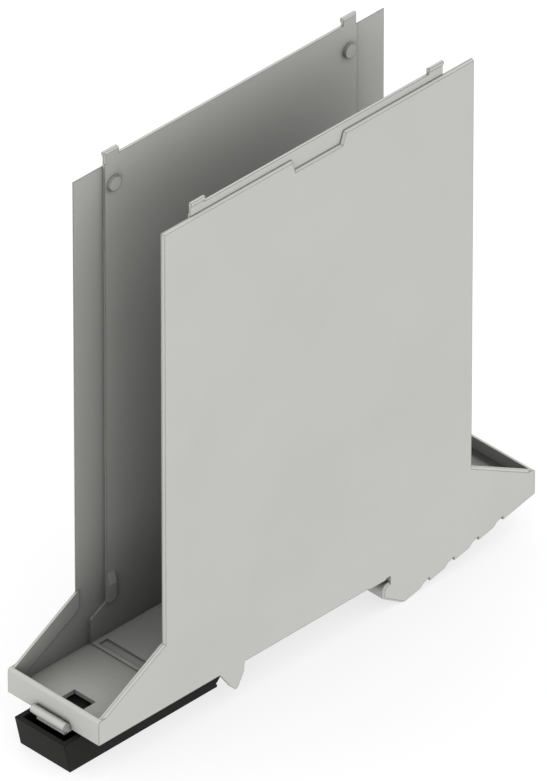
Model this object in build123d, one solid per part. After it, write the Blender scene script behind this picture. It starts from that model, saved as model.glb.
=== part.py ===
from build123d import *
import math
import os

# Lower housing of a one-module electronics enclosure for a 35 mm top-hat rail, in millimetres.
# It is one thin-walled moulding, open at the top, with a sliding foot catch and its spring below.
# X runs across the rail, with the catch end at -X. Y runs along the rail. Z points away from it.
# The origin is the middle of the rail seat, the flat underside that rests on the rail.

# Housing, overall
width = 22.5                 # one module along the rail
half_length = 53.45          # origin to the outside of either end wall
tower_half = 37.55           # origin to the ends of the tall side walls
tower_top = 99.6             # top edge of the tall side walls
end_wall_top = 5.0           # top edge of the low walls at both ends
rim_high = 13.35             # where the sloping tray rims meet the tall walls

# Housing, walls and floor
skin = 0.6                   # outer skin of both sides
panel = 0.55                 # inner panel that stiffens each tall wall
end_wall = 0.85
end_wall_round = 0.6         # outer top edge of each end wall
tray_floor = 1.0
middle_floor = 1.25
rear_floor = 0.85            # floor at the foot of the rear end wall
edge_bevel = 0.4             # along the outer edges of both sides, but not the tall walls' rear edges
rim_band = 0.25              # thicker band of the side walls under the tray rims
rim_band_depth = 4.0
rim_band_inset = 0.65        # inner end of the band, from the end of the tall wall
end_band_depth = 2.5         # plain upper part of the end walls, above the latching groove
end_groove = 0.3             # depth of that groove

# Inner panels of the tall walls
panel_half = 30.5
panel_foot_out = 3.9         # the panels' feet reach further out than the panels
panel_foot_low = 6.05
panel_foot_high = 8.15
tongue_top = 101.1           # the panels stand above the skin and enter the upper housing
panel_bevel = 0.28           # along the inner edges of the tabs
tab_length = 3.4             # snap tabs at both ends of each tongue
tab_root = 1.0               # how deep a tab is rooted in the tongue
tab_top = 102.4
tab_reach = 0.28             # how far a tab's barb stands out from the tongue
tab_barb = 0.65              # height of the barb's face
tab_barb_slope = 0.3         # height of the slope below it
boss_radius = 1.4
boss_height = 0.6
boss_inset = 2.0             # centre of a boss, from the panel's end
boss_z = 95.55
rib_length = 1.95            # guide ribs at the lower corners of each panel
rib_height = 0.5
rib_low = 7.95
rib_high = 14.0
rib_ramp = 2.3               # height of the slope at a rib's top
rib_round = 0.9

# Pry recess in the top edge of each skin
recess_half = 5.45
recess_depth = 2.35
recess_flare = 0.95

# Openings and grooves of the floor
window_gap = 3.15            # outside of the front end wall to the window over the catch
window_length = 4.5
window_half = 2.6
slot_inset = 0.9             # panel foot to the shallow seat for a cross wall
slot_length = 2.0
slot_half = 9.1
slot_depth = 0.4

# Rail seat, fixed hook and locating teeth
rail_half = 17.5             # half of the 35 mm rail
rail_flange = 1.0            # thickness of the rail's edges
seat_start = 15.6            # the underside in front of the rail seat is a little higher
bay_depth = 0.15
tooth_clearance = 0.6        # tooth to rail edge
hook_clearance = 0.15        # rail edge to the end of the hook's slot
flange_clearance = 0.3       # rail edge to the hook below it
tooth_face = 2.0             # nearly upright part of the tooth's face
tooth_lean = 0.2
tooth_point = (1.95, 5.2)    # tip behind the face and below the seat, before it is rounded
tooth_knee = (3.4, 3.75)
tooth_root = 6.0             # length of the tooth at the floor
tooth_round = 0.6
hook_reach = 1.75            # lip of the hook, from the end of its slot
hook_slope = 0.4             # fall of the slot's lower face towards the lip
hook_nose_low = 4.2          # drop of the lip's nose
hook_heel = 3.0              # end of the slot to the heel
hook_nose_round = 0.5
hook_lip_round = 1.5
foot_bottom = 7.3            # depth of the hook's heel and of the catch
pad_inset = 1.25             # pressing pad above the rail's edge, from the end of the slot
pad_length = 3.6
pad_height = 0.3
pad_ramp = 0.9
end_bottom = 0.25            # drop of the sloping underside at the end wall
groove_first = 4.45          # heel of the hook to the first cross groove
groove_pitch = 6.05
groove_count = 4
groove_width = 2.3
groove_depth = 0.75
cavity_wall = 1.8            # end of the hook's slot to the cavity
cavity_ramp = (2.0, 1.5)     # sloping foot of the cavity's front wall
cavity_low = 5.0

# Bead on the front end wall, over the catch's tool pocket, with the catch's stop below it
bead_half = 4.15
bead_radius = 0.85
bead_out = 0.8               # centre of the bead from the wall
bead_z = 0.65
bead_web_out = 0.95
bead_web_low = 0.55
stop_half = 3.45
stop_out = 0.75              # stop, in front of the outside of the wall and behind it
stop_in = 0.45
stop_low = 1.35

# Foot catch
catch_half = 6.1
catch_top = 0.95
catch_reach = 3.4            # front edge of the catch, from the end wall
catch_rake = 1.4             # slope of its front face
catch_wall = 1.0
catch_roof = 0.9
catch_heel = 2.25            # rail edge to the rear of the catch's foot
catch_back = 3.25            # wall between the foot's rear and the channel
catch_bite = 1.5             # how far the nose reaches under the rail's edge
nose_face = 1.3
nose_edge = 0.4
lug_height = 0.75            # small step above the catch's rear edge
catch_travel = 3.4
slide_clearance = 0.25
rest_clearance = 0.15

# Slide bar under the floor, which carries the catch
bar_length = 5.5
bar_neck_half = 2.0
bar_head_half = 4.0
bar_head_height = 3.6
peg_radius = 1.3             # pegs that hold the ends of the spring
peg_length = 1.5

# Return spring
spring_space = 7.6
spring_outer = 4.2
spring_wire = 0.55
wire_sides = 10              # the wire's section is a fine polygon
spring_turns = 5
spring_end_gap = 0.05

# Places that follow from the sizes above
side_y = width / 2                        # outer face of a side
skin_y = side_y - skin                    # inner face of its skin
panel_y = skin_y - panel                  # inner face of its panel
wall_x = half_length - end_wall           # inner face of an end wall
slot_end_x = rail_half + hook_clearance
hook_gap = rail_flange + flange_clearance
lip_x = slot_end_x - hook_reach
heel_x = slot_end_x + hook_heel
tooth_x = -rail_half - tooth_clearance
foot_x = panel_half + panel_foot_out
window_x = -half_length + window_gap
catch_front = -half_length - catch_reach
catch_rear = -rail_half - catch_heel
nose_x = -rail_half + catch_bite
channel_rear = catch_rear - catch_back
bar_rear = channel_rear - spring_space
bar_front = bar_rear - bar_length
bar_top = catch_top + catch_roof + slide_clearance
pocket_back = -half_length + stop_in + catch_travel + rest_clearance
spring_z = -bar_top - spring_outer / 2


def lengthwise(*points):
    """Face in the upright plane along the length, from points of x and z."""
    return make_face(Plane.XZ * Polyline(*points, close=True))


def across(face, y0, y1):
    """Solid that carries a lengthwise face across the width, from y0 to y1."""
    return Pos(0, y0, 0) * extrude(face, amount=y1 - y0, dir=(0, 1, 0))


def block(x0, x1, y0, y1, z0, z1):
    """Straight block between the given limits."""
    return Pos(x0, y0, z0) * Box(x1 - x0, y1 - y0, z1 - z0, align=(Align.MIN, Align.MIN, Align.MIN))


def rod(x, y, z, direction, radius, length):
    """Round rod that starts at a point and runs along a direction."""
    return extrude(Plane(origin=(x, y, z), z_dir=direction) * Circle(radius), amount=length)


def both_sides(piece):
    """The piece and its mirror image on the other side of the width."""
    return piece + mirror(piece, about=Plane.XZ)


def both_ends(piece):
    """The piece and its mirror image at the other end of the length."""
    return piece + mirror(piece, about=Plane.YZ)


def rim_z(x):
    """Height of the sloping tray rim at a distance x from the origin."""
    return end_wall_top + (wall_x - x) * (rim_high - end_wall_top) / (wall_x - tower_half)


def underside_z(x):
    """Height of the sloping underside behind the hook."""
    return -foot_bottom + (x - heel_x) * (foot_bottom - end_bottom) / (half_length - heel_x)


def underside_line():
    """Underside from the rear end wall to the front: slope, hook and rail seat."""
    hook = FilletPolyline(
        (half_length, -end_bottom),
        (heel_x, -foot_bottom),
        (lip_x, -hook_nose_low),
        (lip_x, -hook_gap - hook_slope),
        (slot_end_x, -hook_gap),
        radius=(0, hook_nose_round, hook_lip_round),
    )
    return hook + Polyline((slot_end_x, -hook_gap), (slot_end_x, 0), (-half_length, 0))


def side_face():
    """Outline of one side: trays, tall wall and underside."""
    upper = FilletPolyline(
        (-half_length, 0),
        (-half_length, end_wall_top),
        (-wall_x, end_wall_top),
        (-tower_half, rim_high),
        (-tower_half, tower_top),
        (tower_half, tower_top),
        (tower_half, rim_high),
        (wall_x, end_wall_top),
        (half_length, end_wall_top),
        (half_length, -end_bottom),
        radius=(end_wall_round, 0, 0, 0, 0, 0, 0, end_wall_round),
    )
    return make_face(Plane.XZ * (upper + underside_line()))


def base_face():
    """Section of the floor, the rear wedge with its cavity, and the fixed hook."""
    cavity_x = slot_end_x + cavity_wall
    upper = Polyline(
        (-half_length, 0),
        (-half_length, tray_floor),
        (-foot_x, tray_floor),
        (-foot_x, middle_floor),
        (cavity_x, middle_floor),
        (cavity_x, -cavity_low + cavity_ramp[1]),
        (cavity_x + cavity_ramp[0], -cavity_low),
        (wall_x, rear_floor),
        (half_length, rear_floor),
        (half_length, -end_bottom),
    )
    return make_face(Plane.XZ * (upper + underside_line()))


def tooth():
    """One locating tooth beside the catch, on the +Y side."""
    outline = FilletPolyline(
        (tooth_x, middle_floor / 2),
        (tooth_x, 0),
        (tooth_x - tooth_lean, -tooth_face),
        (tooth_x - tooth_point[0], -tooth_point[1]),
        (tooth_x - tooth_knee[0], -tooth_knee[1]),
        (tooth_x - tooth_root, 0),
        (tooth_x - tooth_root, middle_floor / 2),
        radius=(0, 0, tooth_round, 0, 0),
    )
    closing = Line((tooth_x - tooth_root, middle_floor / 2), (tooth_x, middle_floor / 2))
    return across(make_face(Plane.XZ * (outline + closing)), skin_y, side_y)


def grooves():
    """Cross grooves in the sloping underside, each with one sloping side."""
    cutters = Part()
    for i in range(groove_count):
        x = heel_x + groove_first + i * groove_pitch
        outline = lengthwise(
            (x - groove_depth, underside_z(x) - groove_depth),
            (x + groove_depth, underside_z(x) + groove_depth),
            (x + groove_width, underside_z(x + groove_width) + groove_depth),
            (x + groove_width, underside_z(x + groove_width) - groove_depth),
        )
        cutters += across(outline, -width, width)
    return cutters


def skin_side():
    """Outer skin on the +Y side, with its tooth, pry recess and bevelled edges."""
    side = across(side_face(), skin_y, side_y) + tooth() - grooves()
    recess = lengthwise(
        (-recess_half - recess_flare, tower_top + edge_bevel),
        (-recess_half, tower_top - recess_depth),
        (recess_half, tower_top - recess_depth),
        (recess_half + recess_flare, tower_top + edge_bevel),
    )
    side -= across(recess, panel_y, side_y + skin)
    outer = side.edges().filter_by_position(Axis.Y, side_y, side_y)
    upper = outer.filter_by(lambda edge: edge.center().Z > middle_floor and abs(edge.center().X) < wall_x)
    rear_edge = upper.filter_by_position(Axis.X, tower_half, tower_half)
    lip = outer.filter_by(lambda edge: edge.center().Z < -hook_gap and 0 < edge.center().X < heel_x)
    return chamfer(upper - rear_edge + lip, edge_bevel)


def rim_bands():
    """Thicker bands inside the +Y skin, just below the rims of both trays."""
    outer_x = half_length - end_wall / 2
    inner_x = tower_half - rim_band_inset
    band = lengthwise(
        (outer_x, rim_z(outer_x)),
        (inner_x, rim_z(inner_x)),
        (inner_x, rim_z(inner_x) - rim_band_depth),
        (outer_x, rim_z(outer_x) - rim_band_depth),
    )
    return both_ends(across(band, skin_y - rim_band, skin_y))


def panel_side():
    """Inner panel on the +Y side, with its tongue, snap tabs, bosses and guide ribs."""
    outline = lengthwise(
        (-foot_x, middle_floor / 2),
        (-foot_x, panel_foot_low),
        (-panel_half, panel_foot_high),
        (-panel_half, tongue_top),
        (panel_half, tongue_top),
        (panel_half, panel_foot_high),
        (foot_x, panel_foot_low),
        (foot_x, middle_floor / 2),
    )
    tab_face = make_face(Plane.YZ * Polyline(
        (skin_y, tongue_top - tab_root),
        (skin_y, tab_top - tab_barb - tab_barb_slope),
        (skin_y + tab_reach, tab_top - tab_barb),
        (skin_y + tab_reach, tab_top),
        (panel_y + panel_bevel, tab_top),
        (panel_y, tab_top - panel_bevel),
        (panel_y, tongue_top - tab_root),
        close=True,
    ))
    tab = Pos(panel_half - tab_length, 0, 0) * extrude(tab_face, amount=tab_length, dir=(1, 0, 0))
    end_edge = make_face(Plane.XY * Polyline(
        (panel_half - panel_bevel, panel_y),
        (panel_half, panel_y + panel_bevel),
        (panel_half, panel_y),
        close=True,
    ))
    end_edge = Pos(0, 0, tongue_top - tab_root) * extrude(end_edge, amount=tab_top, dir=(0, 0, 1))
    boss = rod(panel_half - boss_inset, panel_y, boss_z, (0, -1, 0), boss_radius, boss_height)
    rib_face = make_face(Plane.YZ * Polyline(
        (panel_y, rib_low),
        (panel_y - rib_height, rib_low),
        (panel_y - rib_height, rib_high - rib_ramp),
        (panel_y, rib_high),
        close=True,
    ))
    rib = Pos(panel_half - rib_length, 0, 0) * extrude(rib_face, amount=rib_length, dir=(1, 0, 0))
    corner = rib.edges().filter_by(Axis.Y).sort_by(Axis.X)[0]
    rib = fillet(corner, rib_round)
    plain = across(outline, panel_y, skin_y) + both_ends(tab)
    return plain - both_ends(end_edge) + both_ends(boss + rib)


def end_walls():
    """Low end walls between the skins, with a rounded top edge and a latching groove inside."""
    wall = block(wall_x, half_length, -skin_y, skin_y, 0, end_wall_top)
    top_edge = wall.edges().filter_by(Axis.Y).sort_by(Axis.Z)[-2:].sort_by(Axis.X)[-1]
    wall = fillet(top_edge, end_wall_round)
    groove_y = skin_y - rim_band
    wall -= block(wall_x - end_groove, wall_x + end_groove, -groove_y, groove_y,
                  tray_floor, end_wall_top - end_band_depth)
    return both_ends(wall)


def pressing_pad():
    """Low pad beside the hook, which presses on the rail's edge."""
    pad_x = slot_end_x - pad_inset
    outline = lengthwise(
        (pad_x - pad_length, -pad_height),
        (pad_x, -pad_height),
        (slot_end_x, middle_floor / 2),
        (pad_x - pad_length - pad_ramp, middle_floor / 2),
        (pad_x - pad_length - pad_ramp, 0),
    )
    return across(outline, -side_y, side_y)


def bead():
    """Bead on the front end wall, a fulcrum for the tool, with the catch's stop below it."""
    round_bar = rod(-half_length - bead_out, -bead_half, bead_z, (0, 1, 0), bead_radius, 2 * bead_half)
    web = block(-half_length - bead_web_out, -wall_x, -bead_half, bead_half, -bead_web_low, bead_z)
    stop = block(-half_length - stop_out, -half_length + stop_in, -stop_half, stop_half, -stop_low, 0)
    return round_bar + web + stop


def slide_bar():
    """T-shaped bar under the floor, with a peg for the fixed end of the spring."""
    neck = block(bar_front, bar_rear, -bar_neck_half, bar_neck_half, -bar_top, middle_floor / 2)
    head = block(bar_front, bar_rear, -bar_head_half, bar_head_half, -bar_top - bar_head_height, -bar_top)
    return neck + head + rod(bar_rear, 0, spring_z, (1, 0, 0), peg_radius, peg_length)


def floor_cuts():
    """Window over the catch, cross-wall seat, and the raised underside above the catch."""
    window = block(window_x, window_x + window_length, -window_half, window_half, -1, tray_floor + 1)
    seat_x = -foot_x + slot_inset
    seat = block(seat_x, seat_x + slot_length, -slot_half, slot_half,
                 middle_floor - slot_depth, middle_floor + 1)
    bay = block(-wall_x, -seat_start, -skin_y, skin_y, -1, bay_depth)
    return window + seat + bay


def housing_shell():
    """The whole moulding: sides, panels, base, end walls, bead and slide bar."""
    shell = across(base_face(), -skin_y, skin_y) - grooves()
    shell += both_sides(skin_side())
    shell += both_sides(rim_bands())
    shell += both_sides(panel_side())
    shell += end_walls()
    shell += pressing_pad()
    shell -= floor_cuts()
    return shell + bead() + slide_bar()


def foot_catch():
    """Sliding catch: tool pocket in front, channel for the slide bar, nose under the rail's edge."""
    nose_top = -rail_flange - slide_clearance
    outline = lengthwise(
        (catch_front, -catch_top),
        (catch_front + catch_rake, -foot_bottom),
        (catch_rear, -foot_bottom),
        (catch_rear, -foot_bottom + lug_height - slide_clearance),
        (catch_rear - slide_clearance, -foot_bottom + lug_height),
        (nose_x - nose_edge, nose_top - nose_face - nose_edge),
        (nose_x, nose_top - nose_face),
        (nose_x, nose_top - nose_edge),
        (nose_x - nose_edge, nose_top),
        (tooth_x, nose_top),
        (tooth_x, -catch_top),
    )
    catch = across(outline, -catch_half, catch_half)
    pocket = lengthwise(
        (catch_front + catch_wall, 0),
        (catch_front + catch_wall, -catch_top),
        (catch_front + catch_rake + catch_wall, -foot_bottom + catch_wall),
        (pocket_back, -foot_bottom + catch_wall),
        (pocket_back, 0),
    )
    pocket_half = catch_half - catch_wall
    catch -= across(pocket, -pocket_half, pocket_half)
    channel_front = bar_front - rest_clearance
    channel_half = bar_head_half + slide_clearance
    roof_z = -catch_top - catch_roof
    catch -= block(channel_front, channel_rear, -channel_half, channel_half, -2 * foot_bottom, roof_z)
    neck_half = bar_neck_half + slide_clearance
    catch -= block(channel_front, bar_rear + catch_travel + slide_clearance, -neck_half, neck_half,
                   roof_z - 1, 0)
    return catch + rod(channel_rear, 0, spring_z, (-1, 0, 0), peg_radius, peg_length)


def catch_spring():
    """Steel compression spring between the slide bar and the catch."""
    end_room = spring_end_gap + spring_wire / 2
    start_x = bar_rear + end_room
    coil_length = spring_space - 2 * end_room
    coil_radius = (spring_outer - spring_wire) / 2
    coil = Helix(coil_length / spring_turns, coil_length, coil_radius,
                 center=(start_x, 0, spring_z), direction=(1, 0, 0))
    section = Plane(origin=coil @ 0, z_dir=coil % 0) * RegularPolygon(spring_wire / 2, wire_sides)
    return sweep(section, path=coil, is_frenet=True)


os.makedirs("parts", exist_ok=True)
export_step(housing_shell(), "parts/housing_shell.step")
export_step(foot_catch(), "parts/foot_catch.step")
export_step(catch_spring(), "parts/catch_spring.step")
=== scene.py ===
import math

import bpy
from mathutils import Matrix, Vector


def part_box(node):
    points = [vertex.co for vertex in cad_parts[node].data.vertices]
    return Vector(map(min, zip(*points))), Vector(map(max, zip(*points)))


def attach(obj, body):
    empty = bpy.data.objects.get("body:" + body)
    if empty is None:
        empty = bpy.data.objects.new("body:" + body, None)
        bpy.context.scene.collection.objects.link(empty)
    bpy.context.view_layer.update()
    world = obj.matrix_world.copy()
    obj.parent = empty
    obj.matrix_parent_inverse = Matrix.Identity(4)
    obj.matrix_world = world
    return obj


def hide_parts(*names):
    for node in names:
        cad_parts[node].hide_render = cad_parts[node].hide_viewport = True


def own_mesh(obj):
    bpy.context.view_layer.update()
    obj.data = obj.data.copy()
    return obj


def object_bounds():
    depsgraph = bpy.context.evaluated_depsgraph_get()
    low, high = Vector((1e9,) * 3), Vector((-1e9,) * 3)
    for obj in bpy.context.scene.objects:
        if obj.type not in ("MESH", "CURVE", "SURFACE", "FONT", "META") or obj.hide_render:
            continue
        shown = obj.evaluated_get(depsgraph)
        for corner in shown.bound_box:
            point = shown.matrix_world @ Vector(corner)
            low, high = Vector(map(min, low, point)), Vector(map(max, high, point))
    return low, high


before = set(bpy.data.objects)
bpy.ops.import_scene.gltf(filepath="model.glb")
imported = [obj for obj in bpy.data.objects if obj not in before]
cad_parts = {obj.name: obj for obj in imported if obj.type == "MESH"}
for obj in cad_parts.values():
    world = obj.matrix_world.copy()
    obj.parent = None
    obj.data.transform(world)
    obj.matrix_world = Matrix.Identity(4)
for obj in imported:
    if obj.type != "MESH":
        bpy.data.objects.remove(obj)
cad_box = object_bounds()


# Housing: one thin-walled moulding in light grey polyamide. The outside has the fine matt grain of a
# spark-eroded mould, and the deep inside is a little smoother and darkened by painted shade. Its edges
# are slightly rounded, and painted shade darkens them in a thin line and darkens its corners.
MM = 0.001


class Value:
    """One output of a material's node, worked with in plain arithmetic that adds Math nodes."""

    def __init__(self, finish, node, output):
        self.finish = finish
        self.node = node
        self.output = output

    def combine(self, operation, first, second):
        """Adds a Math node that works on these two."""
        return self.finish.node("Math", {"operation": operation}, {0: first, 1: second})

    def __add__(self, other):
        return self.combine("ADD", self, other)

    def __radd__(self, other):
        return self.combine("ADD", other, self)

    def __sub__(self, other):
        return self.combine("SUBTRACT", self, other)

    def __rsub__(self, other):
        return self.combine("SUBTRACT", other, self)

    def __mul__(self, other):
        return self.combine("MULTIPLY", self, other)

    def __rmul__(self, other):
        return self.combine("MULTIPLY", other, self)


class Finish:
    """A material under construction, whose nodes are all added by one method."""

    def __init__(self, name):
        self.material = bpy.data.materials.new(name)
        self.material.use_nodes = True
        self.tree = self.material.node_tree
        self.tree.nodes.clear()

    def node(self, kind, settings, sockets, output=0):
        """Adds a shader node: its settings first, then its sockets' values or links."""
        made = self.tree.nodes.new("ShaderNode" + kind)
        for name, value in settings.items():
            setattr(made, name, value)
        for name, value in sockets.items():
            if isinstance(value, Value):
                self.tree.links.new(value.node.outputs[value.output], made.inputs[name])
            else:
                made.inputs[name].default_value = value
        return Value(self, made, output)

    def place(self):
        """Position on the piece at rest, in metres."""
        return self.node("TexCoord", {}, {}, "Object")

    def noise(self, size, detail, roughness=0.5):
        """Cloudy pattern from 0 to 1 whose features are about this large, in metres."""
        return self.node("TexNoise", {}, {"Vector": self.place(), "Scale": 1 / size, "Detail": detail,
                                          "Roughness": roughness})

    def openness(self, reach):
        """Share of the directions in which nothing of the same piece is nearer than this, in metres."""
        return self.node("AmbientOcclusion", {"samples": 8, "only_local": True}, {"Distance": reach}, "AO")

    def ramp(self, value, low, high):
        """Share of the way from low to high, held between 0 and 1."""
        return self.node("MapRange", {"interpolation_type": "SMOOTHSTEP"},
                         {"Value": value, "From Min": low, "From Max": high})

    def blend(self, mask, first, second):
        """Colour that goes from the first to the second as the mask goes from 0 to 1."""
        return self.node("Mix", {"data_type": "RGBA"}, {0: mask, 6: first, 7: second}, 2)

    def shade(self, sockets):
        """Ends the material in a Principled shader with these sockets."""
        shader = self.node("BsdfPrincipled", {}, sockets)
        self.node("OutputMaterial", {}, {"Surface": shader})
        return self.material


def rgb(red, green, blue):
    """Linear colour of a shade that is given from 0 to 255 as it looks on a screen."""
    linear = []
    for shade in (red, green, blue):
        c = shade / 255
        linear.append(c / 12.92 if c < 0.04 else ((c + 0.055) / 1.055) ** 2.4)
    return (*linear, 1.0)


def moulded(name, tones, painted_edge_shade_tone, painted_corner_shade_tone, painted_deep_shade_tone, edge_radius, corner_shade_reach, deep_shade_reach, grain,
            grain_depth, roughness, gloss):
    """Moulded plastic: close tones in slow clouds, fine grain, smoother edges and deep places, and painted
    shade along edges, in corners and in deep places.
    """
    cloud_size = 24 * MM
    handled_size = 9 * MM
    painted_corner_shade_share = 0.75
    finish = Finish(name)
    clouds = finish.ramp(finish.noise(cloud_size, 3), 0.3, 0.7)
    fine = finish.noise(grain, 2)
    handled = finish.ramp(finish.noise(handled_size, 4, 0.6), 0.45, 0.7)
    rounded = finish.node("Bevel", {"samples": 6}, {"Radius": edge_radius})
    flat = finish.node("NewGeometry", {}, {}, "True Normal")
    along = finish.node("VectorMath", {"operation": "DOT_PRODUCT"}, {0: rounded, 1: flat}, "Value")
    # Painted shade: a thin dark line along every edge, where the rounded shading normal turns from the
    # face; edges are also made a little smoother.
    worn_edge_and_painted_shade = finish.ramp(1 - along, 0.004, 0.04)
    # Painted shade: darker where walls of the same piece close in within the longer reach; these places
    # are also made a little smoother.
    deep_smooth_and_painted_shade = 1 - finish.ramp(finish.openness(deep_shade_reach), 0.0, 0.95)
    # Painted shade: darker in corners and recesses within the short reach.
    corner = 1 - finish.ramp(finish.openness(corner_shade_reach), 0.12, 0.72)
    colour = finish.blend(clouds, tones[0], tones[1])
    colour = finish.blend(deep_smooth_and_painted_shade, colour, painted_deep_shade_tone)
    colour = finish.blend(painted_corner_shade_share * corner, colour, painted_corner_shade_tone)
    colour = finish.blend(worn_edge_and_painted_shade, colour, painted_edge_shade_tone)
    return finish.shade({
        "Base Color": colour,
        "Roughness": roughness + 0.08 * (fine - 0.5) - 0.07 * handled - 0.06 * worn_edge_and_painted_shade - 0.05 * deep_smooth_and_painted_shade,
        "Normal": finish.node("Bump", {}, {"Strength": 0.35, "Distance": grain_depth, "Height": fine,
                                           "Normal": rounded}),
        "Specular IOR Level": gloss,
    })


housing_grey = moulded(
    "housing_grey_polyamide",
    tones=(rgb(199, 200, 195), rgb(203, 204, 199)),
    # The edge, corner and deep tones are painted shade, not the polyamide's own colour.
    painted_edge_shade_tone=rgb(120, 121, 116),
    painted_corner_shade_tone=rgb(78, 79, 75),
    painted_deep_shade_tone=rgb(107, 108, 103),
    edge_radius=0.2 * MM,
    corner_shade_reach=3 * MM,
    deep_shade_reach=25 * MM,
    grain=0.16 * MM,
    grain_depth=0.02 * MM,
    roughness=0.56,
    gloss=0.4,
)
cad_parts["housing_shell"].material_slots[0].material = housing_grey


# Foot catch: a small black polyamide moulding that slides under the floor. Its grained faces are quite
# matt, and rubbing on the rail and on the screwdriver has made its edges smoother. Painted shade darkens
# its edges, corners and deep places.
catch_black = moulded(
    "catch_black_polyamide",
    tones=(rgb(41, 41, 40), rgb(45, 45, 44)),
    # The edge, corner and deep tones are painted shade, not the polyamide's own colour.
    painted_edge_shade_tone=rgb(13, 13, 13),
    painted_corner_shade_tone=rgb(11, 11, 11),
    painted_deep_shade_tone=rgb(18, 18, 17),
    edge_radius=0.15 * MM,
    corner_shade_reach=3 * MM,
    deep_shade_reach=12 * MM,
    grain=0.2 * MM,
    grain_depth=0.03 * MM,
    roughness=0.6,
    gloss=0.04,
)
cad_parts["foot_catch"].material_slots[0].material = catch_black


# Return spring: hard-drawn steel wire wound to a short compression spring with closed ends. It sits
# between the slide bar's peg and the catch's peg. The real spring shortens as the catch is drawn out; this
# coil is built at rest length and fixed to the housing.
spring_low, spring_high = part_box("catch_spring")
spring_length = spring_high.x - spring_low.x
spring_axis_y = (spring_low.y + spring_high.y) / 2
spring_axis_z = (spring_low.z + spring_high.z) / 2
wire_radius = 0.275 * MM
coil_radius = (spring_high.y - spring_low.y) / 2 - wire_radius
closed_pitch = 2.02 * wire_radius
end_turns = 1
active_turns = 4
steps_per_turn = 40
wire_sides = 16


def coil_advance(turn):
    """How far along its axis the wire has come after this many turns, in metres."""
    rise = spring_length - 2 * wire_radius - 2 * end_turns * closed_pitch
    closed = min(turn, end_turns) + max(turn - end_turns - active_turns, 0)
    opened = min(max(turn - end_turns, 0), active_turns) / active_turns
    return closed * closed_pitch + rise * opened


def coil_point(turn):
    """Centre of the wire after this many turns."""
    angle = 2 * math.pi * turn
    return Vector((spring_low.x + wire_radius + coil_advance(turn),
                   spring_axis_y + coil_radius * math.cos(angle),
                   spring_axis_z + coil_radius * math.sin(angle)))


vertices = []
faces = []
rings = (2 * end_turns + active_turns) * steps_per_turn + 1
for ring in range(rings):
    turn = ring / steps_per_turn
    outward = Vector((0, math.cos(2 * math.pi * turn), math.sin(2 * math.pi * turn)))
    for side in range(wire_sides):
        around = 2 * math.pi * side / wire_sides
        round_wire = math.cos(around) * outward + math.sin(around) * Vector((1, 0, 0))
        vertices.append(coil_point(turn) + wire_radius * round_wire)
for ring in range(rings - 1):
    for side in range(wire_sides):
        after = (side + 1) % wire_sides
        faces.append((ring * wire_sides + side, ring * wire_sides + after,
                      (ring + 1) * wire_sides + after, (ring + 1) * wire_sides + side))
faces.append(tuple(range(wire_sides)))
faces.append(tuple(range((rings - 1) * wire_sides, rings * wire_sides))[::-1])
coil_mesh = bpy.data.meshes.new("catch_spring_coil")
coil_mesh.from_pydata(vertices, [], faces)
for polygon in coil_mesh.polygons:
    polygon.use_smooth = len(polygon.vertices) == 4
coil = bpy.data.objects.new("catch_spring_coil", coil_mesh)
bpy.context.scene.collection.objects.link(coil)

steel = Finish("spring_drawn_steel")
drawn = steel.noise(0.12 * MM, 3)
tarnish = steel.ramp(steel.noise(1.4 * MM, 3), 0.4, 0.75)
steel.shade({
    "Base Color": steel.blend(tarnish, rgb(186, 186, 184), rgb(150, 146, 140)),
    "Metallic": 1.0,
    "Roughness": 0.24 + 0.16 * tarnish + 0.08 * drawn,
    "Normal": steel.node("Bump", {}, {"Strength": 0.4, "Distance": 0.006 * MM, "Height": drawn}),
})
coil_mesh.materials.append(steel.material)
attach(coil, "housing")
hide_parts("catch_spring")
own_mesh(coil)


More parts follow.
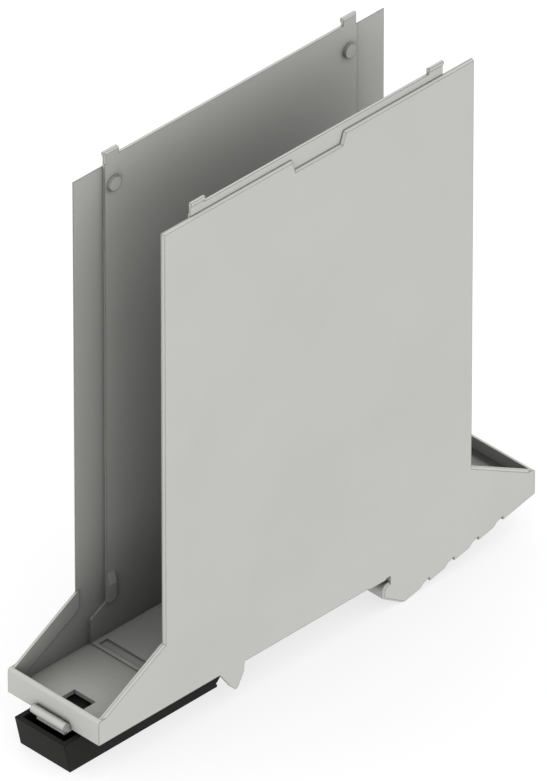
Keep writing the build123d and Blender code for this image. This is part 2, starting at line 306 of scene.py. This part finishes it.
# Table: a plain pale sheet that the housing stands on, on the heel of its hook and the foot of its
# catch. It glows a little, so that it stays as white as the studio around it.
table_mesh = bpy.data.meshes.new("table")
half = 6.0
table_z = cad_box[0].z
table_mesh.from_pydata([(-half, -half, table_z), (half, -half, table_z), (half, half, table_z),
                        (-half, half, table_z)], [], [(0, 1, 2, 3)])
table = bpy.data.objects.new("table", table_mesh)
bpy.context.scene.collection.objects.link(table)
paper = Finish("table_white")
paper.shade({
    "Base Color": paper.blend(paper.noise(40 * MM, 3), rgb(150, 150, 150), rgb(153, 153, 153)),
    "Roughness": 0.9,
    "Specular IOR Level": 0.1,
    "Emission Color": (1.0, 1.0, 1.0, 1.0),
    "Emission Strength": 0.75,
})
table_mesh.materials.append(paper.material)


# Light: an even white studio all round, with one large soft lamp over the left shoulder. Light is not
# passed on from surface to surface, so the space between the tall walls grows dark towards its foot.
studio = bpy.data.worlds.new("studio")
studio.use_nodes = True
studio.node_tree.nodes["Background"].inputs["Color"].default_value = (1.0, 1.0, 1.0, 1.0)
studio.node_tree.nodes["Background"].inputs["Strength"].default_value = 1.0
bpy.context.scene.world = studio
bpy.context.scene.cycles.diffuse_bounces = 0

lamp_place = Vector((-0.25, -0.9, 1.0))
lamp_aim = Vector((0, 0, 0.04))
lamp_data = bpy.data.lights.new("key_softbox", "AREA")
lamp_data.size = 0.9
lamp_data.energy = 0.5
lamp = bpy.data.objects.new("key_softbox", lamp_data)
lamp.location = lamp_place
lamp.rotation_euler = (lamp_aim - lamp_place).to_track_quat("-Z", "Y").to_euler()
bpy.context.scene.collection.objects.link(lamp)


# Camera: a long lens far away, because the picture is drawn almost without perspective. It looks down
# from the front left corner of the housing, at a point between the tall walls.
camera_data = bpy.data.cameras.new("camera")
camera_data.sensor_width = 36.0
camera_data.lens = 1000.0
camera_data.clip_start = 0.1
camera_data.clip_end = 20.0
camera = bpy.data.objects.new("camera", camera_data)
bpy.context.scene.collection.objects.link(camera)
azimuth = math.radians(-44.8)
elevation = math.radians(35.29)
distance = 3776.4 * MM
aim = Vector((14.36, 14.06, 28.4)) * MM
move_right = -0.21 * MM
move_up = 0.143 * MM
sight = Vector((-math.sin(azimuth) * math.cos(elevation), math.cos(azimuth) * math.cos(elevation),
                -math.sin(elevation)))
rightward = Vector((math.cos(azimuth), math.sin(azimuth), 0))
camera.location = aim + move_right * rightward + move_up * rightward.cross(sight) - distance * sight
camera.rotation_euler = sight.to_track_quat("-Z", "Y").to_euler()
bpy.context.scene.camera = camera
bpy.context.scene.view_settings.view_transform = "Standard"
bpy.context.scene.view_settings.look = "None"
